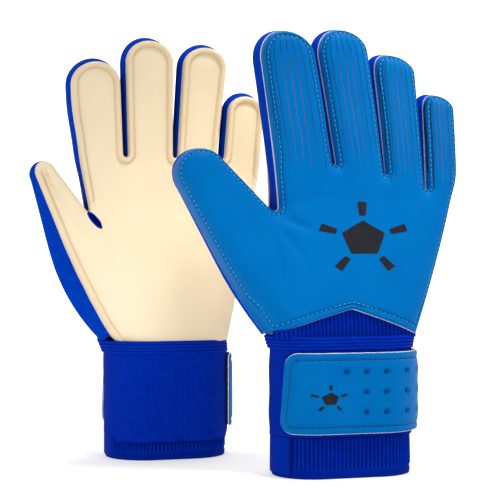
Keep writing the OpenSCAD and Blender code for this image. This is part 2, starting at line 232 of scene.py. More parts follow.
def outline(glove, face):
    """Closed outline of a face of the hand, clockwise from the wrist on the thumb's side. Every face has
    the same number of points, so that point k of one face belongs to point k of the others."""
    inset = INSETS[face]
    digits = glove.digits
    thumb, little = digits[0], digits[4]
    parts, soft = [], []

    def add(points, smooth=0.0):
        parts.append(points)
        soft.append(np.full(len(points), smooth))

    def insets_of(d, sign):
        """Insets at the base and the tip of a digit's left (-1) or right (1) edge."""
        way = "left" if sign < 0 else "right"
        return inset[way if d else "thumb_" + way]

    def across(d, sign, r):
        """Place across a digit of its left or right edge, r along it."""
        base_in, tip_in = insets_of(d, sign)
        base, tip = digits[d].base_w / 2, digits[d].tip_w / 2
        widen = np.interp(r, [0, digits[d].top], [0, 1])
        return sign * (base + (tip - base) * widen - base_in - (tip_in - base_in) * widen)

    corner = np.array([glove.wrist_x[0], glove.cuff_h])
    start = thumb.point(-thumb.base_w / 2, 0.0)
    add(side_curve(corner, start, np.array(THUMB_BULGE[glove.side]), inset["outer"], THUMB_SIDE)[:-1])
    soft[-1][-14:] = 1.0

    # How far along each digit its left edge starts and its right edge ends.
    web_in = insets_of(0, 1)[0]
    web_z = thumb.point(thumb.base_w / 2 - web_in, 0.0)[1] + WEB_RISE[face] + 2
    starts, ends = [0.0, 0.5], [max(thumb.side_at(1, web_in, web_z), 0.0)]
    for d, rise in enumerate(SLIT_RISE[glove.side][face], 1):
        a, b = digits[d], digits[d + 1]
        a_in, b_in = insets_of(d, 1)[0], insets_of(d + 1, -1)[0]
        z = min(a.point(a.base_w / 2, 0.0)[1], b.point(-b.base_w / 2, 0.0)[1]) + rise
        ra, rb = a.side_at(1, a_in, z), b.side_at(-1, b_in, z)
        gap = b.point(-(b.base_w / 2 - b_in), rb)[0] - a.point(a.base_w / 2 - a_in, ra)[0]
        radius = max(gap / 2, SLIT_RADIUS)
        ends.append(a.side_at(1, a_in, z + radius))
        starts.append(b.side_at(-1, b_in, z + radius))
    ends.append(0.0)

    for d, digit in enumerate(digits):
        up = np.linspace(starts[d], digit.top, DIGIT_SIDE)
        q = across(d, -1, up)
        if d == 1:
            q += INDEX_TAPER[glove.side] * (1 - smoothstep(0, TAPER_OVER, up))
        add(digit.point(q, up)[:-1])
        if d < 2:
            soft[-1][:14] = 1.0
        left_in, right_in = insets_of(d, -1)[1], insets_of(d, 1)[1]
        tip = digit.tip_w / 2
        angle = np.linspace(math.pi, 0, DIGIT_TIP)
        middle = (left_in - right_in) / 2
        radius = tip - (left_in + right_in) / 2
        height = tip - (inset["tip"] if d else inset["thumb_tip"])
        skew = TIP_SKEW[glove.side][d] * np.sin(angle) ** 2
        add(digit.point(middle + radius * np.cos(angle) + skew, digit.top + height * np.sin(angle))[:-1])
        down = np.linspace(digit.top, ends[d], DIGIT_SIDE)
        q = across(d, 1, down)
        add(digit.point(q, down)[:-1])
        here = digit.point(q[-1], ends[d])
        if d == 4:
            soft[-1][-22:] = 1.0
            continue
        other = digits[d + 1]
        q_next = -(other.base_w / 2 - insets_of(d + 1, -1)[0]) + (0 if d else INDEX_TAPER[glove.side])
        there = other.point(q_next, starts[d + 1])
        if d == 0:
            # The web: down to a narrow V, then up the edge of the hand to the index finger.
            way = there - thumb.point(thumb.base_w / 2 - inset["web"], 0.0)
            way /= np.linalg.norm(way)
            low = there - way * (there[1] - here[1]) / way[1]
            low[0] = max(low[0], here[0] + WEB_WIDTH[glove.side])
            radius = max((low[0] - here[0]) / 2, 0.6)
            add(round_bottom(radius, here, thumb.along, low, other.along)[:-1])
            add((low + (there - low) * np.linspace(0, 1, 27)[:, None])[:-1], 0.3)
            soft[-1][-12:] = 1.0
            continue
        radius = max(np.linalg.norm(there - here) / 2, SLIT_RADIUS)
        add(round_bottom(radius, here, digit.along, there, other.along)[:-1])

    corner = np.array([glove.wrist_x[1], glove.cuff_h])
    start = little.point(little.base_w / 2, 0.0)
    bulge = np.array(LITTLE_BULGE[glove.side])
    add(side_curve(start, corner, bulge, (inset["little"],) * 2, LITTLE_EDGE)[:-1])
    soft[-1][:26] = 1.0

    # The lower edge: a chevron on the back, a slight sag on the other faces.
    right = corner - [inset["little"], 0]
    left = np.array([glove.wrist_x[0] + inset["outer"][0], glove.cuff_h])
    peak = right[0] / (right[0] - left[0])
    t = np.concatenate([np.linspace(*ends_at, count)[:-1]
                        for ends_at, count in zip(((0, peak), (peak, 1)), PEAK_SIDES)])
    x = right[0] + (left[0] - right[0]) * t
    if face == "back":
        rise = np.where(t < peak, t / peak, (1 - t) / (1 - peak)) ** 0.85
        side_z = np.where(t < peak, *CHEVRON_SIDES)
        z = glove.cuff_h + side_z + (CHEVRON_PEAK - side_z) * rise
    else:
        z = glove.cuff_h - 1.2 * np.sin(math.pi * t)
    add(columns(x, z))

    # Fifty passes round off the corners that were marked soft, and two more even out the whole line.
    points, soft = np.concatenate(parts), np.concatenate(soft)[:, None]
    for weight in [0.5 * soft] * 50 + [0.3] * 2:
        middle = (np.roll(points, 1, axis=0) + np.roll(points, -1, axis=0)) / 2
        points = points + weight * (middle - points)
    return points


def inward(points):
    """Unit normals of a closed clockwise outline, towards its inside."""
    run = unit(np.roll(points, -1, axis=0) - np.roll(points, 1, axis=0))
    return columns(run[:, 1], -run[:, 0])


def edge_distance(points, line, closed=True):
    """Distance of each point to an outline, and the index of its nearest corner."""
    square = (points ** 2).sum(axis=1)[:, None] - 2 * points @ line.T + (line ** 2).sum(axis=1)
    nearest = square.argmin(axis=1)
    best = np.full(len(points), np.inf)
    for step in (-1, 1):
        other = nearest + step
        other = other % len(line) if closed else np.clip(other, 0, len(line) - 1)
        start, way = line[nearest], line[other] - line[nearest]
        t = ((points - start) * way).sum(axis=1) / np.maximum((way ** 2).sum(axis=1), 1e-12)
        gap = points - start - np.clip(t, 0, 1)[:, None] * way
        best = np.minimum(best, np.linalg.norm(gap, axis=1))
    return best, nearest


def inside(points, line):
    after = np.roll(line, -1, axis=0)
    found = np.zeros(len(points), bool)
    for a, b in zip(line, after):
        if a[1] == b[1]:
            continue
        cross = (points[:, 1] > min(a[1], b[1])) & (points[:, 1] <= max(a[1], b[1]))
        at = a[0] + (points[:, 1] - a[1]) * (b[0] - a[0]) / (b[1] - a[1])
        found ^= cross & (points[:, 0] < at)
    return found


def fill(line, rings, cell):
    """Points and triangles that fill an outline: rows that follow its edge, then an even grid."""
    normals = inward(line)
    sets = [line]
    for depth in rings:
        row = line + depth * normals
        distance, _ = edge_distance(row, line)
        keep = (distance > 0.96 * depth) & inside(row, line)
        thin = row[keep]
        if len(thin):
            step = np.linalg.norm(thin - np.roll(thin, 1, axis=0), axis=1)
            thin = thin[step > 0.25]
        sets.append(thin)
    low, high = line.min(axis=0), line.max(axis=0)
    grid = np.meshgrid(np.arange(low[0], high[0], cell), np.arange(low[1], high[1], cell * 0.87))
    grid = np.stack(grid, axis=-1)
    grid[1::2, :, 0] += cell / 2
    grid = grid.reshape(-1, 2)
    grid = grid[inside(grid, line)]
    reach = (rings[-1] if rings else 0) + 0.55 * cell
    distance, _ = edge_distance(grid, line)
    sets.append(grid[distance > reach])
    points = np.concatenate(sets)
    count = len(line)
    loop = [(k, (k + 1) % count) for k in range(count)]
    made = delaunay_2d_cdt([tuple(p) for p in points], loop, [], 1, 1e-5)
    flat = np.array([tuple(v) for v in made[0]])
    faces = np.array([f for f in made[2] if len(f) == 3])
    a, b, c = flat[faces[:, 0]], flat[faces[:, 1]], flat[faces[:, 2]]
    turn = (b[:, 0] - a[:, 0]) * (c[:, 1] - a[:, 1]) - (b[:, 1] - a[:, 1]) * (c[:, 0] - a[:, 0])
    faces[turn < 0] = faces[turn < 0][:, ::-1]
    return flat, faces


# ---------------------------------------------------------------- meshes

class Shape:
    """Points in glove millimetres, faces, the material of each face, and each point's fabric coordinates."""

    def __init__(self):
        self.points, self.faces, self.kinds, self.fabric = [], [], [], []
        self.count = 0

    def add(self, points, faces, kind=0, fabric=None):
        points = np.asarray(points, float)
        self.points.append(points)
        self.fabric.append(np.zeros((len(points), 3)) if fabric is None else np.asarray(fabric, float))
        base = self.count
        self.faces += [tuple(int(k) + base for k in face) for face in faces]
        self.kinds += [kind] * len(faces)
        self.count += len(points)
        return base

    def skirt(self, upper, lower, kind, flip=False):
        """Joins two closed rows of points, given by their numbers."""
        for k in range(len(upper)):
            j = (k + 1) % len(upper)
            quad = (upper[k], upper[j], lower[j], lower[k])
            self.faces.append(quad[::-1] if flip else quad)
            self.kinds.append(kind)

    def done(self):
        return np.concatenate(self.points), self.faces, np.array(self.kinds), np.concatenate(self.fabric)


def grid_faces(rows, cols, closed=False, flip=False):
    """Quads of a grid of points stored row by row; closed joins the last column to the first."""
    faces = []
    for i in range(rows - 1):
        for j in range(cols if closed else cols - 1):
            a, b = i * cols + j, i * cols + (j + 1) % cols
            face = (a, b, b + cols, a + cols)
            faces.append(face[::-1] if flip else face)
    return faces


def vertex_normals(points, faces):
    normals = np.zeros_like(points)
    for size in (3, 4):
        some = np.array([f for f in faces if len(f) == size])
        if not len(some):
            continue
        if size == 3:
            n = np.cross(points[some[:, 1]] - points[some[:, 0]], points[some[:, 2]] - points[some[:, 0]])
        else:
            n = np.cross(points[some[:, 2]] - points[some[:, 0]], points[some[:, 3]] - points[some[:, 1]])
        for k in range(size):
            np.add.at(normals, some[:, k], n)
    return unit(normals)


def make_object(glove, name, shape, materials, keep=None, prints=None):
    """Mesh object of a shape, or of the faces in keep. Its normals come from the whole shape, so pieces
    that were one surface shade as one. prints holds the print coordinates of each face's corners."""
    points, faces, kinds, fabric = shape.done()
    if glove.turn < 0:
        faces = [f[::-1] for f in faces]
    row = glove.to_row(points)
    normals = vertex_normals(row, faces)
    chosen = np.arange(len(faces)) if keep is None else np.flatnonzero(keep)
    used = np.unique(np.concatenate([np.array(faces[k]) for k in chosen]))
    number = np.full(len(points), -1)
    number[used] = np.arange(len(used))
    mesh = bpy.data.meshes.new(name)
    mesh.from_pydata(row[used].tolist(), [], [tuple(number[list(faces[k])]) for k in chosen])
    for material in materials:
        mesh.materials.append(material)
    mesh.polygons.foreach_set("material_index", kinds[chosen].astype(np.int32))
    mesh.polygons.foreach_set("use_smooth", np.ones(len(chosen), bool))
    weave = mesh.attributes.new("fabric", "FLOAT_VECTOR", "POINT")
    weave.data.foreach_set("vector", fabric[used].astype(np.float32).ravel())
    if prints is not None:
        data = mesh.attributes.new("print", "FLOAT_VECTOR", "CORNER")
        order = [prints[k][::glove.turn] for k in chosen]
        data.data.foreach_set("vector", np.concatenate(order).astype(np.float32).ravel())
    mesh.update()
    mesh.normals_split_custom_set_from_vertices([tuple(n) for n in normals[used]])
    piece = bpy.data.objects.new(name, mesh)
    bpy.context.scene.collection.objects.link(piece)
    return piece


def face_centres(points, faces):
    corners = np.array([f if len(f) == 4 else f + f[:1] for f in faces])
    weight = np.array([[1, 1, 1, 1] if len(f) == 4 else [1, 1, 1, 0] for f in faces], float)
    return (points[corners] * weight[..., None]).sum(axis=1) / weight.sum(axis=1)[:, None]


def digit_of(glove, centres):
    """Number of the digit that holds each point, or -1 for the hand."""
    owner = np.full(len(centres), -1)
    for d, digit in enumerate(glove.digits):
        q, r = digit.coords(centres[:, [0, 2]]).T
        margin = 3.0 if d == 0 else 1.0
        hit = (r > 0) & (np.abs(q) <= digit.half(r) + margin) & (owner < 0)
        if d == 0:
            hit &= centres[:, 0] < glove.digits[1].fold[0]
        owner[hit] = d
    return owner


def sew(glove, name, shape, materials, body, slot, nodes=(), keep=None, prints=None):
    """Makes a piece and hides the parts it replaces. A piece of the hand rides the hand; one of a digit or the
    strap is baked in place.
    """
    piece = make_object(glove, f"{glove.side}_{name}", shape, materials, keep, prints)
    if body in DIGITS:
        digit = glove.digits[DIGITS.index(body)]
        ends = [glove.to_row([p[0], 0.0, p[1]]) for p in
                (digit.point(0.0, BLEND_FROM), digit.point(0.0, BLEND_FROM + BLEND_OVER))]
        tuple(ends[0])
        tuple(ends[1])
        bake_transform(piece)
    elif body == "strap":
        at = glove.local(JOINTS[f"{glove.side}_strap_open"]["pos_m"])
        ends = [glove.to_row([at[0], y, at[2]]) for y in STRAP_BLEND]
        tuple(ends[0])
        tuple(ends[1])
        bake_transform(piece)
    else:
        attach(piece, f"{glove.side}_hand")
    if nodes:
        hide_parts(*[f"{glove.side}_{node}" for node in nodes])
    return piece


def surface_area(piece):
    return sum(p.area for p in piece.data.polygons)


# ---------------------------------------------------------------- materials

class Value:
    """What a node gives. Arithmetic on it adds the nodes that do the arithmetic."""

    def __init__(self, nodes, socket):
        self.nodes, self.socket = nodes, socket

    def __add__(self, other):
        return self.nodes.maths("ADD", self, other)

    def __sub__(self, other):
        return self.nodes.maths("SUBTRACT", self, other)

    def __rsub__(self, other):
        return self.nodes.maths("SUBTRACT", other, self)

    def __mul__(self, other):
        return self.nodes.maths("MULTIPLY", self, other)

    def __abs__(self):
        return self.nodes.maths("ABSOLUTE", self)


class Nodes:
    """Small helper that builds one material's node tree."""

    def __init__(self, name, rough, sheen=0.0, specular=0.5, tint=(1, 1, 1)):
        self.material = bpy.data.materials.new(name)
        self.material.use_nodes = True
        self.tree = self.material.node_tree
        self.shader = self.tree.nodes["Principled BSDF"]
        for key, value in (("Roughness", rough), ("Sheen Weight", sheen), ("Sheen Roughness", 0.4),
                           ("Specular IOR Level", specular), ("Specular Tint", (*tint, 1))):
            self.shader.inputs[key].default_value = value

    def put(self, socket, value):
        if isinstance(value, Value):
            self.tree.links.new(value.socket, socket)
        else:
            socket.default_value = value

    def make(self, kind, output, inputs, **settings):
        """Adds a node with its settings and inputs, and gives one of its outputs."""
        node = self.tree.nodes.new("ShaderNode" + kind)
        for key, value in settings.items():
            setattr(node, key, value)
        for key, value in inputs:
            self.put(node.inputs[key], value)
        return Value(self, node.outputs[output])

    def maths(self, operation, *values, clamp=False):
        return self.make("Math", 0, enumerate(values), operation=operation, use_clamp=clamp)

    def attribute(self, name):
        """The three numbers of a mesh attribute."""
        vector = self.make("Attribute", "Vector", (), attribute_name=name)
        split = self.tree.nodes.new("ShaderNodeSeparateXYZ")
        self.put(split.inputs[0], vector)
        return [Value(self, socket) for socket in split.outputs]

    def noise(self, scale, detail=3.0):
        place = self.make("TexCoord", "Object", ())
        return self.make("TexNoise", "Fac", (("Vector", place), ("Scale", scale), ("Detail", detail)))

    def mix(self, factor, a, b):
        # The mix node has one set of inputs and outputs for each type of data; these are the colour ones.
        return self.make("Mix", 2, ((0, factor), (6, a), (7, b)), data_type="RGBA")

    def ramp(self, value, low, high):
        return self.make("MapRange", 0, enumerate((value, low, high)), interpolation_type="SMOOTHSTEP")

    def bump(self, height, strength, distance):
        inputs = (("Strength", strength), ("Distance", distance * MM), ("Height", height))
        self.put(self.shader.inputs["Normal"], self.make("Bump", 0, inputs))

    def colour(self, value):
        self.put(self.shader.inputs["Base Color"], value)
        return self.material


# The third colour on the next line is the painted shade of the groove inside the palm's rolled border.
CREAM, CREAM_SHADE, CREAM_GROOVE_SHADE = (0.80, 0.68, 0.475, 1), (0.72, 0.60, 0.40, 1), (0.50, 0.36, 0.19, 1)
CREAM_BORDER = (0.72, 0.55, 0.34, 1)
SKY, SKY_SHADE = (0.0, 0.128, 0.395, 1), (0.0, 0.098, 0.34, 1)
# The next two colours are painted shade: along the back's stitch groove, and in the strap's dimples.
SKY_STITCH_SHADE, SKY_DIMPLE_SHADE = (0.0, 0.05, 0.22, 1), (0.0, 0.03, 0.16, 1)
FOAM_LIGHT, FOAM_DARK = (0.80, 0.78, 0.80, 1), (0.55, 0.56, 0.66, 1)
# Of the next three colours, the dark royal is the painted shade in the knits' valleys and grooves.
ROYAL, ROYAL_DARK, ROYAL_SIDE = (0.0, 0.028, 0.43, 1), (0.0, 0.003, 0.10, 1), (0.0, 0.05, 0.50, 1)
INK, INK_RED = (0.012, 0.014, 0.02, 1), (0.085, 0.065, 0.08, 1)


def latex_palm():
    n = Nodes("palm_latex", rough=0.6, specular=0.25)
    edge = n.attribute("fabric")[2]
    tone = n.ramp(n.noise(22.0, 4.0), 0.3, 0.75)
    base = n.mix(tone * 0.45, CREAM, CREAM_SHADE)
    border = 1.0 - n.ramp(edge, 3.6, 5.0)
    base = n.mix(border * 0.5, base, CREAM_BORDER)
    # Painted shade in the groove at the inner edge of the rolled border.
    groove_shade = 1.0 - n.ramp(abs(edge - 4.55), 0.1, 0.9)
    base = n.mix(groove_shade * 0.4, base, CREAM_GROOVE_SHADE)
    n.bump(n.noise(2600.0, 2.0) + n.noise(420.0, 3.0) * 0.8, 0.25, 0.12)
    return n.colour(base)


def latex_back(printed=True):
    n = Nodes("back_latex" if printed else "strap_latex", rough=0.46, specular=0.3, tint=(0.05, 0.5, 1))
    n.shader.inputs["IOR"].default_value = 1.25
    tone = n.ramp(n.noise(26.0, 3.0), 0.3, 0.75)
    base = n.mix(tone * 0.5, SKY, SKY_SHADE)
    if printed:
        # Lines that run down each finger: their number across the finger, the height along it and the
        # distance between two lines come with the mesh. Each line starts at its own height.
        across, along, pitch = n.attribute("print")
        across = across + (n.noise(60.0, 2.0) - 0.5) * 0.5
        line = n.maths("ROUND", across)
        thin = 1.0 - n.ramp(abs(across - line) * pitch, 0.18, 0.38)
        chance = n.make("TexWhiteNoise", "Value", (("W", line + pitch * 7.3),), noise_dimensions="1D")
        stop = n.maths("MULTIPLY_ADD", chance, 30.0, -12.0)
        run = n.ramp(along - stop, 0.0, 5.0)
        inner = n.maths("LESS_THAN", abs(line), 3.5)
        mask = thin * run * inner
        red = n.ramp(abs(line), 2.6, 0.4) * n.ramp(along, 75.0, 45.0)
        base = n.mix(mask * 0.85, base, n.mix(red, INK, INK_RED))
        # Painted shade along the groove that the stitches sit in.
        stitch_shade = 1.0 - n.ramp(abs(n.attribute("fabric")[2]), 0.2, 1.0)
        base = n.mix(stitch_shade * 0.6, base, SKY_STITCH_SHADE)
    else:
        # Painted shade in the strap's dimples.
        base = n.mix(n.attribute("fabric")[2] * 0.55, base, SKY_DIMPLE_SHADE)
    n.bump(n.noise(1800.0, 2.0) + n.noise(300.0, 3.0) * 0.7, 0.16, 0.10)
    return n.colour(base)


def cut_foam():
    n = Nodes("cut_foam", rough=0.8, specular=0.2)
    base = n.mix(n.ramp(n.noise(700.0, 2.0), 0.35, 0.65), FOAM_LIGHT, FOAM_DARK)
    n.bump(n.noise(3000.0, 2.0), 0.5, 0.2)
    return n.colour(base)


def knit(name, pitch_u, pitch_v, dark, rib, tone=ROYAL):
    """Knitted cloth: wales pitch_u wide across the fabric and courses pitch_v high along it."""
    n = Nodes(name, rough=0.85, specular=0.06, tint=(0.1, 0.3, 1))
    u, v, groove_shade = n.attribute("fabric")
    drift = (n.noise(110.0, 3.0) - 0.5) * 3.0
    wale = n.maths("SINE", (u + drift) * (2 * math.pi / pitch_u))
    wale = n.maths("MULTIPLY_ADD", wale, 0.5, 0.5)
    shifted = v * (2 * math.pi / pitch_v) + wale * 1.6
    course = n.maths("MULTIPLY_ADD", n.maths("SINE", shifted), 0.5, 0.5)
    height = wale * rib + course * 0.5 + n.noise(1500.0, 2.0) * 0.5
    patchy = n.ramp(n.noise(240.0, 4.0), 0.3, 0.75)
    # Painted shade in the valleys between the wales and the courses, where the bump is low, broken up by noise.
    shade = 1.0 - wale * n.maths("MULTIPLY_ADD", course, 0.4, 0.6)
    broken = n.ramp(n.noise(420.0, 2.0), 0.3, 0.7)
    shade = shade * n.maths("MULTIPLY_ADD", broken, dark * 0.35, dark * 0.65)
    base = n.mix(n.maths("ADD", shade, patchy * 0.16, clamp=True), tone, ROYAL_DARK)
    # Painted shade where the piece's third fabric number asks for it.
    base = n.mix(groove_shade * 0.85, base, ROYAL_DARK)
    n.bump(height, 0.8, 0.3)
    return n.colour(base)


def plain(name, tone, rough, grain=900.0, depth=0.15, specular=0.3, sheen=0.0):
    n = Nodes(name, rough=rough, specular=specular, sheen=sheen)
    darker = tuple(c * 0.7 for c in tone[:3]) + (1,)
    n.bump(n.noise(grain, 3.0), 0.5, depth)
    return n.colour(n.mix(n.ramp(n.noise(grain / 3, 2.0), 0.3, 0.7), tone, darker))


PALM, BACK, STRAP, FOAM = latex_palm(), latex_back(), latex_back(printed=False), cut_foam()
MESH = knit("gusset_knit", 1.1, 0.9, dark=0.35, rib=0.5, tone=ROYAL_SIDE)
TUBE = knit("rib_knit", 0.75, 1.6, dark=0.3, rib=0.6)
WRAP = knit("wrap_knit", 1.5, 1.0, dark=0.62, rib=1.0)
BAND = knit("band_knit", 0.9, 1.3, dark=0.3, rib=0.5)
LINING = plain("dark_lining", (0.004, 0.006, 0.05, 1), 0.9, sheen=0.3)
BACKING = plain("black_backing", (0.012, 0.012, 0.02, 1), 0.75)
HOOK = plain("hook_plastic", (0.02, 0.02, 0.022, 1), 0.5, grain=1500, depth=0.5)
LOOP = plain("loop_pile", (0.002, 0.02, 0.28, 1), 0.95, grain=1800, depth=0.5, sheen=0.4)
THREAD = plain("stitch_thread", (0.05, 0.50, 0.80, 1), 0.45, grain=2500, depth=0.1)
THREAD_DARK = plain("strap_thread", (0.0, 0.03, 0.12, 1), 0.5, grain=2500, depth=0.1)
PRINT = plain("printed_motif", INK, 0.55, grain=800, depth=0.05, specular=0.12)


# ---------------------------------------------------------------- hand surfaces

# Distances from the edge of the rows of points that follow it.
PALM_RINGS = (0.35, 0.8, 1.3, 1.9, 2.5, 3.1, 3.6, 4.0, 4.3, 4.55, 4.8, 5.2, 5.8, 6.8, 8.0)
BACK_RINGS = (0.3, 0.7, 1.2, 1.7, 2.1, 2.45, 2.8, 3.2, 3.6, 4.1, 4.8, 5.8, 7.0)
BEAD = 4.6              # width of the palm's rolled border
BACK_WRAP = -3.0        # depth of the back's edge on the thumb's outer side, past the middle to the palm side
RUN_ON = 14.0           # how far the two sides of a panel are thought on below the wrist
SKIRT = 1.9             # height of a panel's cut edge
# How far the foam swells out beyond the latex at its cut edge: on the sides, below the thumb and round
# it, and along the wrist.
CUT_EDGE = {"palm": (0.1, 0.1, 0.1), "back": (0.2, -0.3, 0.45)}
TUCK = 0.7              # how far the side knit is tucked in behind the palm's and the back's edges
GUSSET_ROWS = 13
LINES_ACROSS = 4.1      # printed lines from the middle of a finger to its edge


def dent(points, start, end, depth, width):
    """A soft crease along a line, as a depth at each point."""
    start, end = np.array(start, float), np.array(end, float)
    way = end - start
    t = np.clip(((points - start) @ way) / (way @ way), 0, 1)
    gap = np.linalg.norm(points - (start + t[:, None] * way), axis=1)
    return depth * bell(gap, width) * np.sin(math.pi * np.clip(t, 0.06, 0.94)) ** 0.7


class Panel:
    """The latex palm or the foam back of one glove, fingers included, before it is split at the folds."""

    def __init__(self, glove, face):
        self.glove, self.face = glove, face
        self.sign = -1 if face == "palm" else 1
        self.line = outline(glove, face)
        sides = self.line[:-BOTTOM]
        ways = np.array([sides[0] - sides[4], sides[-1] - sides[-5]])
        ways *= RUN_ON / np.linalg.norm(ways, axis=1)[:, None]
        self.sides = np.concatenate([[sides[0] + ways[0]], sides, [sides[-1] + ways[1]]])
        self.bead = self.bead_weights()
        self.edge = self.edge_depths()

    def bead_weights(self):
        """Strength of the rolled border at each point of the outline. It fades out over the thumb's tip and
        below the little finger, and there is none on the thumb's inner side or along the wrist."""
        line, little = self.line, self.glove.digits[4]
        weight = np.ones(len(line))
        weight[LITTLE_SIDE:] = smoothstep(-16, 0, little.coords(line[LITTLE_SIDE:])[:, 1])
        weight[THUMB_TIP:THUMB_RIGHT] = np.linspace(1, 0, THUMB_RIGHT - THUMB_TIP)
        weight[THUMB_RIGHT:WEB + 9] = 0.0
        for _ in range(10):
            weight[1:-1] = (weight[:-2] + weight[1:-1] + weight[2:]) / 3
        return weight

    def edge_depths(self):
        """Depth of the panel's edge. The back wraps further round on the thumb's outer side."""
        glove, line = self.glove, self.line
        rise = (glove.face_y(line[:, 1]) - glove.finger_y) / (glove.wrist_y - glove.finger_y)
        if self.face == "palm":
            return 9.6 + 2.0 * rise
        depth = 7.6 + 2.0 * rise
        weight = np.zeros(len(line))
        weight[:THUMB_TIP] = 1.0
        weight[THUMB_TIP:THUMB_RIGHT] = np.linspace(1, 0, THUMB_RIGHT - THUMB_TIP)
        return depth + (BACK_WRAP - depth) * weight

    def side_distance(self, points):
        """Distance of each point to the panel's sides, and the number of the nearest outline point."""
        distance, nearest = edge_distance(points, self.sides, closed=False)
        return distance, np.clip(nearest - 1, 0, len(self.line) - BOTTOM - 1)

    def height(self, points):
        """Depth of the panel's surface from the middle of the hand, for points inside its outline."""
        glove = self.glove
        distance, _ = edge_distance(points, self.line)
        to_side, side_near = self.side_distance(points)
        z = points[:, 1]
        top, edge = glove.face_y(z), self.edge[side_near]
        rise = (top - glove.finger_y) / (glove.wrist_y - glove.finger_y)
        bead = self.bead[side_near]
        if self.face == "palm":
            radius = 2.4 + 3.0 * (1 - bead) + 19.0 * rise
            y = edge + (top - edge) * rounded(to_side, radius)
            field = np.exp(-np.clip(to_side - BEAD, 0, None) / 12.0)
            y -= bead * 2.5 * smoothstep(2.7, BEAD, to_side) * field
            y -= bead * 0.28 * bell(to_side - 2.3, 0.4)
        else:
            radius = 9.5 + 12.0 * rise
            y = edge + (top - edge) * (0.22 * smoothstep(0, 1.2, to_side) + 0.78 * rounded(to_side, radius))
            stitch = self.stitch_at(points)
            y -= 0.95 * bell(distance - stitch, 0.6)
            y += 0.35 * bell(distance - 0.5 * stitch, 0.4 * stitch)
            y += 0.5 * (1 - np.exp(-np.clip(distance - stitch, 0, None) / 1.6))
            y -= 0.6 * (1 - smoothstep(0, 0.9, distance))
        return y - self.creases(points)

    def stitch_at(self, points):
        """Distance of the back's stitching from its edge: wider on the index finger and at the chevron."""
        digit = self.glove.digits[1]
        q, r = digit.coords(points).T
        index = smoothstep(-4, 4, r) * (np.abs(q) < digit.half(r) + 1)
        low = 1 - smoothstep(14, 26, points[:, 1] - self.glove.cuff_h)
        return 2.3 + 1.1 * index + 1.9 * low

    def creases(self, points):
        """Soft hollows where the latex gathers at the thumb's crotch, and a slow unevenness all over."""
        glove = self.glove
        thumb = glove.digits[0]
        crotch = thumb.point(thumb.base_w / 2, 2.0)
        x, z = points.T
        wave = 0.28 * np.sin(x / 17 + 1.3) * np.sin(z / 23 + 0.4) + 0.16 * np.sin(x / 9 - z / 13)
        total = wave * smoothstep(0, 12, z - glove.cuff_h)
        if self.face == "palm":
            total += dent(points, crotch + [7, -5], crotch + [17, -38], 1.1, 3.4)
            total += dent(points, crotch + [5, -3], crotch + [10, -16], 0.7, 2.2)
        else:
            total += dent(points, crotch + [0, -4], crotch + [26, -14], 1.5, 2.4)
            total += dent(points, crotch + [1, -9], crotch + [20, -34], 1.2, 2.8)
            total += dent(points, crotch + [-2, -12], crotch + [4, -44], 1.0, 3.0)
            total += dent(points, crotch + [3, 1], crotch + [30, 6], 0.6, 2.6)
        return total

    def lines(self, points, faces):
        """Printed line coordinates at each corner of each face: line number, height along, pitch."""
        centres = points[faces].mean(axis=1)[:, [0, 2]]
        owner = np.full(len(faces), 1)
        best = np.full(len(faces), np.inf)
        for d in range(1, 5):
            q, r = self.glove.digits[d].coords(centres).T
            reach = np.abs(q) / self.glove.digits[d].half(r)
            owner = np.where(reach < best, d, owner)
            best = np.minimum(best, reach)
        values = np.zeros((len(faces), 3, 3))
        for d in range(1, 5):
            digit = self.glove.digits[d]
            mine = owner == d
            corner = points[faces[mine]][..., [0, 2]].reshape(-1, 2)
            q, r = digit.coords(corner).T
            beyond = np.clip(r - digit.top, 0, digit.tip_w / 2 - 0.5)
            tip = digit.tip_w / 2
            half = np.sqrt(np.maximum(tip ** 2 - beyond ** 2, 4.0)) / tip * digit.half(r)
            pitch = digit.half(r) / LINES_ACROSS
            values[mine] = columns(q / half * LINES_ACROSS, r, pitch).reshape(-1, 3, 3)
        return values

    def build(self):
        rings, cell = (PALM_RINGS, 1.7) if self.face == "palm" else (BACK_RINGS, 1.5)
        flat, faces = fill(self.line, rings, cell)
        y = self.height(flat)
        shape = Shape()
        outer = columns(flat[:, 0], self.sign * y, flat[:, 1])
        turned = faces if self.face == "palm" else faces[:, ::-1]
        if self.face == "palm":
            mark, near = self.side_distance(flat)
            mark = mark + 20 * (1 - self.bead[near])
        else:
            mark = edge_distance(flat, self.line)[0] - self.stitch_at(flat)
        # The third fabric number places the palm border's tint and the painted shade in its groove; on the back,
        # the painted shade along the stitches.
        fabric = columns(flat[:, 0], flat[:, 1], mark)
        shape.add(outer, turned, 0, fabric)
        # The cut edge, one row down, then the foam's underside.
        upper = nearest_rows(flat, self.line)
        sides, thumb, wrist = CUT_EDGE[self.face]
        swell = np.full(len(self.line), sides)
        swell[:THUMB_RIGHT], swell[-BOTTOM:] = thumb, wrist
        down = self.line - swell[:, None] * inward(self.line)
        edge = y[upper] - SKIRT
        base = shape.add(columns(down[:, 0], self.sign * edge, down[:, 1]), [])
        shape.skirt(upper, base + np.arange(len(down)), 1, flip=self.face == "back")
        under_flat, under_faces = fill(down, (1.5, 4.0), 6.0)
        distance, near = edge_distance(under_flat, self.line)
        inner_y = np.minimum(self.height(under_flat) - 2.4, self.edge[near] - SKIRT + 0.6 * distance)
        inner_y[nearest_rows(under_flat, down)] = edge
        under = columns(under_flat[:, 0], self.sign * inner_y, under_flat[:, 1])
        shape.add(under, under_faces[:, ::-1] if self.face == "palm" else under_faces, 1)
        if self.face == "palm":
            return shape, None
        prints = list(self.lines(outer, turned))
        return shape, prints + [np.zeros((len(f), 3)) for f in shape.faces[len(prints):]]


